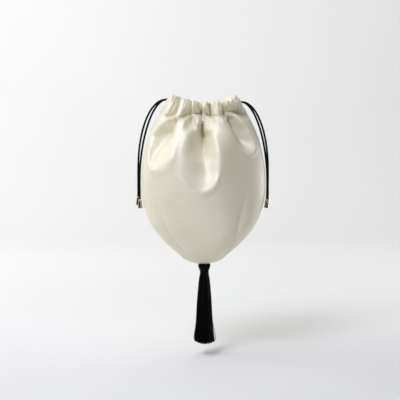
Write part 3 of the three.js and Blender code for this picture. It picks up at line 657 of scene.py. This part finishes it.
def section_point(level, u, out):
    """Point of a level's section at u (-1 left seam ... 1 right seam), moved out along its normal."""
    def at(v):
        s = np.clip(mix(np.sin(v * np.pi / 2), v, level["even"]), -1, 1)
        full = np.maximum(0, 1 - np.abs(s) ** level["square"]) ** (level["point"] / level["square"])
        return level["wide"] * s, level["rim"] + level["deep"] * full
    d = 0.004
    v = np.clip(u, -1 + d, 1 - d)
    (x0, y0), (x1, y1) = at(v - d), at(v + d)
    length = np.hypot(x1 - x0, y1 - y0)
    x, y = at(u)
    return x - out * (y1 - y0) / length, y + out * (x1 - x0) / length


def levels_at(v):
    index = np.arange(len(LEVELS))
    return {name: through(index, LEVELS[:, k], v) for k, name in enumerate(LEVEL_NAMES)}


def panel_middle(u, v, face, form):
    """Middle of the cloth at u across and v (row number) up the panel, front side as +Y."""
    level = levels_at(v)
    high = gather(u, level["z"], form)
    crest = np.clip(high / 6.0, 0, 1.2) * (level["rise"] > 0)
    z = level["z"] + level["rise"] * (top_edge(u, face, smooth(-level["lift"] / 4.0)) - STITCH_Z + (1.5 if face < 0 else 0.4) * (crest - 0.7) * level["rise"])
    out = np.where(level["lift"] < 0, level["lift"] * (1 - 0.5 * np.abs(u) ** 3), level["lift"]) + level["pleat"] * high
    below = np.maximum(0, STITCH_Z - level["z"])
    drawn = through(PINCH[:, 0], PINCH[:, 1], u * -face)
    hold = np.where(level["rise"] > 0, np.maximum(0, 1 - level["rise"] / 0.85) ** 1.5, np.exp(-(below / np.where(drawn < 0, 9.5, 4.6)) ** 2))
    out = out - drawn * hold * (level["lift"] >= 0)
    out = out + through(LEAN[:, 0], LEAN[:, 1], u * -face) * smooth(level["rise"] / 0.8) * (level["lift"] >= 0)
    for place, rise, wide, share, depth in form["hollows"]:
        away = ((u - place) / wide) ** 2 + ((level["rise"] - rise) / share) ** 2
        out = out - depth * np.maximum(0, 1 - away) ** 1.3 * (level["lift"] > 0) * (level["rise"] > 0)
    for half, points in form["creases"]:
        rows = np.array(points, float)
        place, depth = through(rows[:, 0], rows[:, 1], z), through(rows[:, 0], rows[:, 2], z)
        out = out - depth * np.maximum(0, 1 - np.abs((u - place) / half)) ** 1.2 * np.clip(level["pleat"], 0, 1) * (level["lift"] >= 0)
    z = z + through(SEAM_DROP[:, 0], SEAM_DROP[:, 1], u * -face) * np.maximum(0, 1 - level["rise"]) * np.exp(-(below / 8.0) ** 2)
    out = out + wrinkles(u, level["z"], level["rise"], face) * np.clip(np.abs(level["pleat"]) * 1.2, 0, 1)
    x, y = section_point(level, u, out)
    # the side seams are drawn in a little between the stitches
    seam = smooth((np.abs(u) - 0.965) / 0.035) * (level["rise"] < 0.02)
    x = x - np.sign(u) * seam * (0.55 + 0.20 * np.sin(z * 2 * np.pi / 6.5))
    return np.stack([x, np.maximum(y, 0.0), z], -1)


def row_numbers():
    """Row numbers spaced about evenly in millimetres, closer in the casing."""
    step = np.hypot(np.diff(LEVELS[:, 0] + LEVELS[:, 1] * 18), np.diff(LEVELS[:, 3] + 0.5 * LEVELS[:, 2] + LEVELS[:, 7]))
    step = np.maximum(step, 1.6)
    fine = np.where(np.arange(len(step)) < 17, 1.45, 0.72)
    rows = [0.0]
    for i, (length, each) in enumerate(zip(step, fine)):
        count = max(3, int(round(length / each)))
        rows.extend(i + (np.arange(count) + 1) / count)
    return np.array(rows)


def panel(name, face, form):
    across = 192
    u = np.linspace(-1, 1, across + 1)
    v = row_numbers()
    V, U = np.meshgrid(v, u, indexing="ij")
    middle = panel_middle(U, V, face, form)
    along = np.gradient(middle, axis=0)
    side = np.gradient(middle, axis=1)
    normal = np.cross(along, side)
    normal /= np.maximum(np.linalg.norm(normal, axis=2), 1e-9)[..., None]
    outer, inner = middle + CLOTH_OUT * normal, middle - CLOTH_IN * normal
    for sheet in (outer, inner):
        sheet[..., 1] = np.maximum(sheet[..., 1], 0.02) * face
    rows, columns = len(v), across + 1
    number = np.arange(rows * columns).reshape(rows, columns)
    other = number + rows * columns
    faces = []
    o = np.stack([number[:-1, :-1], number[:-1, 1:], number[1:, 1:], number[1:, :-1]], -1).reshape(-1, 4)
    i = np.stack([other[:-1, :-1], other[1:, :-1], other[1:, 1:], other[:-1, 1:]], -1).reshape(-1, 4)
    left = np.stack([number[:-1, 0], number[1:, 0], other[1:, 0], other[:-1, 0]], -1)
    right = np.stack([number[:-1, -1], other[:-1, -1], other[1:, -1], number[1:, -1]], -1)
    low = np.stack([number[0, :-1], other[0, :-1], other[0, 1:], number[0, 1:]], -1)
    high = np.stack([number[-1, :-1], number[-1, 1:], other[-1, 1:], other[-1, :-1]], -1)
    faces = np.concatenate([o, i, left, right, low, high])
    if face > 0:
        faces = faces[:, ::-1]
    # 100 mm of cloth to one UV unit
    run = np.concatenate([np.zeros((1, columns)), np.cumsum(np.linalg.norm(np.diff(middle, axis=0), axis=2), axis=0)]) / 100
    wide = np.concatenate([np.zeros((rows, 1)), np.cumsum(np.linalg.norm(np.diff(middle, axis=1), axis=2), axis=1)], axis=1) / 100
    wide = wide - wide[:, columns // 2:columns // 2 + 1]
    uv = np.stack([wide, run], -1).reshape(-1, 2)
    points = np.concatenate([outer.reshape(-1, 3), inner.reshape(-1, 3)])
    thing = piece(name, points, faces, uv=np.concatenate([uv, uv + (0.37, 0.21)]), material=SATIN)
    area = float(np.linalg.norm(np.cross(np.diff(middle, axis=0)[:, :-1], np.diff(middle, axis=1)[:-1]), axis=2).sum())
    length, width = float(run[:, columns // 2].max() * 100), float((wide[:, -1] - wide[:, 0]).max() * 100)
    return thing, area * MM * MM, width * MM, length * MM, outer, v


# ------------------------------------------------------------------- cords ----
CORD_D = 2.7
UPPER_CORD_Z, LOWER_CORD_Z = 1.05, -2.05
CORD_SAG = 6.0
CASING_END, JOIN_GAP = 0.72, 0.3
TIP_SOCKET = 4.0
ARC_POINTS, TURN_X, LEAVE = 9, 45.9, 2.2
TOP_MIDDLE_Z, TOP_PEAK_Z, TOP_END_Z, TOP_DROOP_U, TOP_PEAK_U = -1.7, 6.6, 4.0, 0.3, 0.82

# The cord line's section inside the casing: rise, wide, deep, rim, point, even
CASING = np.array([
    (0.00, 55.0, 17.5, 0.9, 1.8, 0.9), (0.22, 52.3, 15.8, 2.6, 2.0, 1.0), (0.45, 49.4, 14.5, 4.2, 2.0, 1.0),
    (0.65, 47.4, 12.9, 5.0, 2.0, 1.0), (0.82, 46.2, 11.9, 5.2, 2.0, 1.0), (0.94, 45.4, 11.5, 5.2, 2.0, 1.0),
    (1.00, 45.0, 11.5, 5.2, 2.0, 1.0),
])


def plain_top(u):
    at = abs(u)
    if at < TOP_PEAK_U:
        return mix(TOP_MIDDLE_Z, TOP_PEAK_Z, float(smooth((at - TOP_DROOP_U) / (TOP_PEAK_U - TOP_DROOP_U))))
    return mix(TOP_PEAK_Z, TOP_END_Z, float(smooth((at - TOP_PEAK_U) / (1 - TOP_PEAK_U))))


def casing_point(u, face, height, out=0.0):
    z = height - CORD_SAG * (1 - u * u) - 2.6 * (1 - u * u) ** 2
    rise = (z - STITCH_Z) / (plain_top(u) - STITCH_Z)
    level = {name: np.array(np.interp(rise, CASING[:, 0], CASING[:, k]))
             for k, name in enumerate(("wide", "deep", "rim", "point", "even"), 1)}
    level["square"] = np.array(2.0)
    x, y = section_point(level, np.array(float(u)), out)
    return np.array([float(x), face * float(y), z])


# side, face, level in the casing, reach, where it hangs straight, fullness, depth hanging, end
STRANDS = {
    "left_front": (-1, -1, UPPER_CORD_Z, 82.7, -104, 1.86, -2.2, 82.2, -4.2, -132.3),
    "left_back": (-1, 1, UPPER_CORD_Z, 84.7, -90, 2.08, 2.2, 85.0, 3.9, -128.6),
    "right_front": (1, -1, LOWER_CORD_Z, 82.7, -104, 1.86, -2.2, 82.0, -4.2, -132.0),
    "right_back": (1, 1, LOWER_CORD_Z, 83.9, -90, 2.05, 2.2, 84.0, 3.9, -127.6),
}


def strand_line(side, face, height, reach, turn_z, bow, hang_y, end_x, end_y, end_z):
    points = [casing_point(side * u, face, height, out) for u, out in ((CASING_END, -3.6), (0.82, -2.2), (0.92, -1.1))]
    leave = casing_point(side, face, height, -0.5)
    points.append(leave)
    start = abs(leave[0]) + LEAVE
    for i in range(ARC_POINTS + 1):
        angle = math.pi / 2 * i / ARC_POINTS
        out = math.sin(angle) ** (2 / bow)
        down = 1 - max(0.0, math.cos(angle)) ** (2 / bow)
        points.append(np.array([side * mix(start, reach, out), mix(leave[1], hang_y, float(smooth(i / ARC_POINTS))),
                                mix(leave[2], turn_z, down)]))
    hang = points[-1]
    for t in (0.5, 0.85, 1.0):
        points.append(np.array([side * mix(abs(hang[0]), end_x, t * t), mix(hang[1], end_y, t * t), mix(hang[2], end_z, t)]))
    return curve_through(points, 24), leave


def loop_line(side, height):
    start = CASING_END - 1.4 * JOIN_GAP / 48.0
    across = ((start, -3.7), (0.62, -5.0), (0.45, -5.2), (0.15, -5.2), (-0.15, -5.2), (-0.45, -5.2), (-0.66, -4.8), (-0.86, -1.8), (-1.0, -0.5))
    leave = casing_point(-side, -1, height, -0.5)
    front = [casing_point(side * u, -1, height, out) for u, out in across]
    back = [casing_point(side * u, 1, height, out) for u, out in across][::-1]
    turn = [np.array([-side * x, y * abs(leave[1]), height + 0.15])
            for x, y in ((TURN_X - 0.4, -0.55), (TURN_X, 0.0), (TURN_X - 0.4, 0.55))]
    return curve_through(front + turn + back, 16)


def braid(line, step, sides):
    """A round braid of four carriers each way."""
    line, length = evenly(line, step)
    s = np.linspace(0, length, len(line))[:, None]
    angle = (2 * np.pi * np.arange(sides) / sides)[None, :]
    one = np.abs(np.cos(2 * (angle - 2 * np.pi * s / 8.4)))
    two = np.abs(np.cos(2 * (angle + 2 * np.pi * s / 8.4)))
    lump = np.maximum(one, two) ** 1.5
    radius = CORD_D / 2 * (0.86 + 0.15 * lump)
    return tube(line, radius, sides), line, length


def tip_parts(end, down):
    """A flared metal bell with a rolled rim and a turned collar, its cord socket at the top."""
    bore = CORD_D / 2 + 0.12
    outline = [(0.0, -TIP_SOCKET - 0.3), (bore, -TIP_SOCKET - 0.3), (bore, -0.25), (bore + 0.10, -0.05), (bore + 0.22, 0.0),
               (1.90, -0.05), (2.02, -0.18), (2.08, -0.40), (2.08, -0.85), (2.02, -1.02), (1.93, -1.12), (1.90, -1.25),
               (1.94, -1.40), (2.03, -1.52), (2.09, -1.9), (2.20, -3.0), (2.34, -4.2), (2.50, -5.4), (2.67, -6.6),
               (2.84, -7.8), (2.99, -8.9), (3.12, -9.9), (3.20, -10.6), (3.24, -10.95), (3.24, -11.15), (3.20, -11.3),
               (3.10, -11.42), (2.95, -11.48), (2.80, -11.46), (2.68, -11.35), (2.60, -11.1), (2.50, -10.6),
               (2.20, -9.9), (1.4, -9.5), (0.6, -9.35), (0.0, -9.3)]
    points, faces, uv, tone = lathe(outline, 40)
    turn = np.array(Vector((0, 0, -1)).rotation_difference(Vector(down)).to_matrix())
    return points @ turn.T + (end - TIP_SOCKET * down), faces, uv, tone


for place, strand in STRANDS.items():
    line, leave = strand_line(*strand)
    (points, faces, uv, tone), ring_centres, length = braid(line, 0.3, 16)
    cord = piece(f"braid_{place}", points, faces, uv=uv, material=CORD)
    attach(cord, "root")
    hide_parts(f"cord_{place}")
    down = line[-1] - line[-2]
    down /= np.linalg.norm(down)
    points, faces, uv, tone = tip_parts(line[-1], down)
    bell = piece(f"bell_{place}", points, faces, material=METAL)
    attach(bell, "root")
    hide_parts(f"tip_{place}")

for side, name, height in ((-1, "left", UPPER_CORD_Z), (1, "right", LOWER_CORD_Z)):
    (points, faces, uv, tone), _, _ = braid(loop_line(side, height), 0.4, 12)
    held = piece(f"braid_{name}_loop", points, faces, uv=uv, material=CORD)
    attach(held, "root")
    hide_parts(f"cord_{name}_loop")


# ------------------------------------------------------------ pouch pieces ----
def stitches(name, outer, v, level, each, long, face):
    """A row of short raised stitches along one level of a panel's outside, hidden where folds run through."""
    row = int(np.argmin(np.abs(v - level)))
    line = outer[row]
    length = np.concatenate([[0], np.cumsum(np.linalg.norm(np.diff(line, axis=0), axis=1))])
    parts = []
    outward = outer[row] - np.stack([np.zeros(len(line)), np.zeros(len(line)), outer[row][:, 2]], -1)
    outward[:, 0] *= 0.35
    outward /= np.linalg.norm(outward, axis=1)[:, None]
    at = 2.0
    drawn = through(PINCH[:, 0], PINCH[:, 1], np.linspace(-1, 1, len(line)) * -face)
    while at + long < length[-1] - 2.0:
        if np.interp(at + long / 2, length, drawn) < 0.8:
            at += each
            continue
        t = np.linspace(at, at + long, 7)
        middle = np.stack([np.interp(t, length, line[:, k]) for k in range(3)], -1)
        out = np.stack([np.interp(t, length, outward[:, k]) for k in range(3)], -1)
        bow = np.sin(np.linspace(0, np.pi, 7))
        middle = middle + out * (0.18 * bow - 0.06)[:, None]
        parts.append(tube(middle, 0.10 + 0.13 * bow ** 0.5, 6))
        at += each
    points, faces, uv, tone = joined(parts)
    return piece(name, points, faces, uv=uv, material=SATIN)


# piece, node, face, form, and its cut laid flat: width, length and area, measured along the cloth
PANELS = (("front_cloth", "front_panel", -1, FRONT, (0.236, 0.284), 0.0478),
          ("back_cloth", "back_panel", 1, BACK, (0.216, 0.266), 0.0453))
for name, node_name, face, form, flat, flat_area in PANELS:
    cloth, area, width, length, outer, v = panel(name, face, form)
    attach(cloth, "root")
    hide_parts(node_name)
    seam = stitches(f"{name}_stitches", outer, v, 19.0, 3.3, 2.3, face)
    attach(seam, "root")
    print(f"CLOTH {name}: area {area:.4f} m2, widest {width:.3f} m, longest {length:.3f} m, faces {len(cloth.data.polygons)}")


# ------------------------------------------------------------------ tassel ----
TASSEL_X, TASSEL_END_Z = 1.2, -317.6
SKIRT = np.array([(-223.0, 5.1), (-225.7, 5.7), (-232, 7.0), (-245, 8.3), (-260, 9.6), (-274, 10.3), (-288, 11.0),
                  (-301, 12.0), (-311, 12.7), (-319, 13.0)])
HEAD = np.array([(5.15, -223.6), (5.15, -222.6), (5.6, -221.4), (6.4, -219.6), (7.2, -217.4), (7.7, -215.6), (7.7, -214.2),
                 (7.2, -213.2), (6.0, -213.1), (4.6, -213.5), (2.9, -214.4), (1.5, -215.6)])
HEAD_DIP = np.array([0, 0, 0, 0.1, 0.4, 0.8, 1.0, 1.0, 1.0, 0.9, 0.6, 0.2])   # how far each level falls at front and back
THREAD_R = 0.40


def skirt_threads(seed):
    """Loose threads in layers from the binding down, each with its own drift, wave and end."""
    random = np.random.RandomState(seed)
    rings, sides = 26, 5
    layers = ((1.0, 88), (0.90, 80), (0.79, 70), (0.67, 58), (0.54, 46), (0.40, 34), (0.25, 22), (0.1, 8))
    share = np.concatenate([np.full(n, f) for f, n in layers])
    turn = np.concatenate([np.arange(n) / n * 2 * np.pi for f, n in layers])
    count = len(share)
    share = np.clip(share + random.uniform(-0.035, 0.035, count), 0.03, 1.0)
    turn = turn + random.uniform(-0.05, 0.05, count)
    # the cut ends make a shallow rounded, slightly ragged line
    end = TASSEL_END_Z + 0.6 + 2.4 * (share * np.cos(turn)) ** 2 * share - 0.9 * share * np.cos(turn - 0.3) + np.abs(random.normal(0, 1.1, count))
    t = np.linspace(0, 1, rings)[None, :]
    z = mix(-222.9, end[:, None], t)
    radius = np.maximum(through(SKIRT[:, 0], SKIRT[:, 1], z) - THREAD_R, 0.2)
    wave = 0.30 * np.sin(2 * np.pi * (t * random.uniform(0.8, 2.2, (count, 1)) + random.uniform(0, 1, (count, 1))))
    off = radius * share[:, None] + wave * t + 0.35 * t ** 3 * random.normal(0, 1, (count, 1))
    # a few outer threads stray at their ends
    stray = (random.uniform(0, 1, count) < 0.16) & (share > 0.85)
    off = off + stray[:, None] * random.uniform(0.4, 2.4, (count, 1)) * smooth((t - 0.55) / 0.45) ** 2
    angle = turn[:, None] + random.normal(0, 0.05, (count, 1)) * t + 0.03 * np.sin(2 * np.pi * t * random.uniform(0.7, 1.8, (count, 1)))
    centre = np.stack([off * np.cos(angle), off * np.sin(angle), z], -1)
    thick = THREAD_R * random.uniform(0.85, 1.12, (count, 1)) * mix(0.80, 1.0, smooth(t / 0.12)) * mix(1.0, 0.86, t ** 8)
    around = 2 * np.pi * np.arange(sides) / sides
    ring = np.stack([np.cos(around), np.sin(around), np.zeros(sides)], -1)
    points = (centre[:, :, None, :] + thick[..., None, None] * ring[None, None]).reshape(-1, 3)
    number = np.arange(count * rings * sides).reshape(count, rings, sides)
    after = np.roll(number, -1, axis=2)
    walls = np.stack([number[:, 1:], after[:, 1:], after[:, :-1], number[:, :-1]], -1).reshape(-1, 4)
    caps = [list(c[::-1]) for c in number[:, -1]] + [list(c) for c in number[:, 0]]
    tone = np.repeat(random.uniform(0, 1, count) ** 1.5, rings * sides)
    uv = np.stack(np.broadcast_arrays(np.arange(sides)[None, None] / sides, (np.linspace(0, 0.93, rings))[None, :, None],
                                      np.zeros((count, 1, 1)))[:2], -1)
    uv = np.broadcast_to(uv, (count, rings, sides, 2)).reshape(-1, 2)
    return points, [*walls.tolist(), *caps], uv, tone


def head_threads(seed):
    """The folded tops of the threads: from the binding up, over the rim and in to the tie."""
    random = np.random.RandomState(seed)
    parts, count = [], 44
    for k in range(count):
        turn = 2 * np.pi * (k + random.uniform(-0.12, 0.12)) / count
        swell = random.uniform(0.97, 1.03)
        lift = random.uniform(-0.25, 0.25)
        line = [np.array([(r * swell - 0.42 * (r > 2)) * math.cos(turn + 0.10 * i / 11), (r * swell - 0.42 * (r > 2)) * math.sin(turn + 0.10 * i / 11),
                          z + (lift if 3 < i < 10 else 0) - 0.9 * abs(math.sin(turn)) ** 1.4 * HEAD_DIP[i]]) for i, (r, z) in enumerate(HEAD)]
        line = curve_through(line, 3)
        width = 0.47 * np.clip(np.hypot(line[:, 0], line[:, 1]) / 5.0, 0.42, 1.08)
        parts.append(tube(line, width, 6, tone=random.uniform(0, 1) ** 1.5))
    return joined(parts)


core = lathe([(0, -219.6), (1.4, -219.4), (4.2, -218.9), (6.0, -218.9), (6.2, -219.6), (4.6, -222.3), (4.5, -225.0), (5.2, -228),
              (7.2, -250), (9.0, -285), (10.4, -309.5), (7.6, -312.6), (0, -313.2)], 28)


def hung(points, *rest):
    """The tassel hangs a little to the right of the base seam's middle."""
    return points + (TASSEL_X, 0.0, 0.0), *rest


bundle = piece("tassel_threads", *hung(*joined([skirt_threads(3), head_threads(4), core])), material=THREAD)
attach(bundle, "root")
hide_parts("tassel_bundle")

# the binding: one thread wound six times round the neck
turns = np.linspace(0, 6 * 2 * np.pi, 6 * 40 + 1)
wound = np.stack([5.55 * np.cos(turns), 5.55 * np.sin(turns), mix(-222.55, -225.05, turns / turns[-1])], -1)
binding = piece("tassel_binding_wraps", *hung(*tube(wound, 0.27, 8, tone=0.35, u_scale=1.0)), material=THREAD)
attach(binding, "root")
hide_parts("tassel_binding")

# the tie: two plies from the head up through the base seam to a knot inside
rise = np.linspace(0, 1, 90)
tie_parts = []
for start in (0.0, np.pi):
    a = start + rise * 2 * np.pi * 4.5
    tie_parts.append(tube(np.stack([0.38 * np.cos(a) + TASSEL_X, 0.38 * np.sin(a), mix(-219.8, -208.6, rise)], -1), 0.42, 8, tone=0.3))
a = np.linspace(0, 2 * np.pi, 121)
knot = np.stack([0.62 * (np.sin(a) + 2 * np.sin(2 * a)) * 0.78 + TASSEL_X, 0.62 * (np.cos(a) - 2 * np.cos(2 * a)) * 0.78, -208.6 - 0.75 * np.sin(3 * a)], -1)
tie_parts.append(tube(knot, 0.62, 8, tone=0.4))
tie = piece("tassel_tie_plies", *joined(tie_parts), material=THREAD)
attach(tie, "root")
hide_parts("tassel_tie")


# ------------------------------------------------------------------- stage ----
FLOOR_Z = -332.0


def sweep():
    """A plain pale floor that turns up into a plain backdrop."""
    bend = 900.0
    profile = [(-4500.0, FLOOR_Z), (1500.0, FLOOR_Z)]
    profile += [(1500 + bend * math.sin(a), FLOOR_Z + bend * (1 - math.cos(a))) for a in np.linspace(0.1, math.pi / 2, 15)]
    profile += [(1500 + bend, 3800.0)]
    points, faces = [], []
    for y, z in profile:
        points += [(-5000.0, y, z), (5000.0, y, z)]
    for i in range(len(profile) - 1):
        faces.append([2 * i, 2 * i + 1, 2 * i + 3, 2 * i + 2])
    return np.array(points), faces


backdrop = piece("stage", *sweep(), material=STAGE)


# ------------------------------------------------------------------- light ----
def area_light(name, place, aim, size, power, colour=(1, 1, 1), size_y=None):
    data = bpy.data.lights.new(name, "AREA")
    data.shape = "RECTANGLE" if size_y else "SQUARE"
    data.size = size * MM
    if size_y:
        data.size_y = size_y * MM
    data.energy = power
    data.color = colour
    light = bpy.data.objects.new(name, data)
    SCENE.collection.objects.link(light)
    light.location = Vector(place) * MM
    light.rotation_euler = (Vector(aim) - Vector(place)).to_track_quat("-Z", "Y").to_euler()
    return light


def from_side(left, up, distance, aim):
    """A place `left` degrees to the left of the camera and `up` degrees above level, at a distance from aim."""
    a, e = math.radians(left), math.radians(up)
    return (aim[0] - distance * math.sin(a) * math.cos(e), aim[1] - distance * math.cos(a) * math.cos(e),
            aim[2] + distance * math.sin(e))


MIDDLE = (0.0, 0.0, -110.0)
area_light("key", from_side(26, 40, 1900, MIDDLE), MIDDLE, 700, 19.2, colour=(0.985, 1.0, 1.13))
area_light("left", from_side(75, 45, 1700, MIDDLE), MIDDLE, 1400, 9.2)
area_light("top", (-410.0, -60.0, 1640.0), MIDDLE, 1900, 10.8)
area_light("right", from_side(-116, 0, 1700, MIDDLE), MIDDLE, 1000, 7.6, size_y=340)
area_light("left_low", from_side(112, 0, 1700, MIDDLE), MIDDLE, 1000, 1.8, size_y=340)
area_light("backdrop_left", (-1500.0, 900.0, 900.0), (-300.0, 2400.0, 300.0), 800, 16.2)
area_light("backdrop_right", (1500.0, 900.0, 900.0), (300.0, 2400.0, 300.0), 800, 4.6)
area_light("backdrop_top", (0.0, 1000.0, 1700.0), (0.0, 2400.0, 200.0), 800, 8.6)

world = bpy.data.worlds.new("world")
SCENE.world = world
world.use_nodes = True
world.node_tree.nodes["Background"].inputs["Color"].default_value = (1.0, 1.0, 1.0, 1.0)
world.node_tree.nodes["Background"].inputs["Strength"].default_value = 0.04

SCENE.view_settings.view_transform = "Standard"
SCENE.view_settings.look = "None"


# ------------------------------------------------------------------ finish ----
bpy.context.view_layer.update()
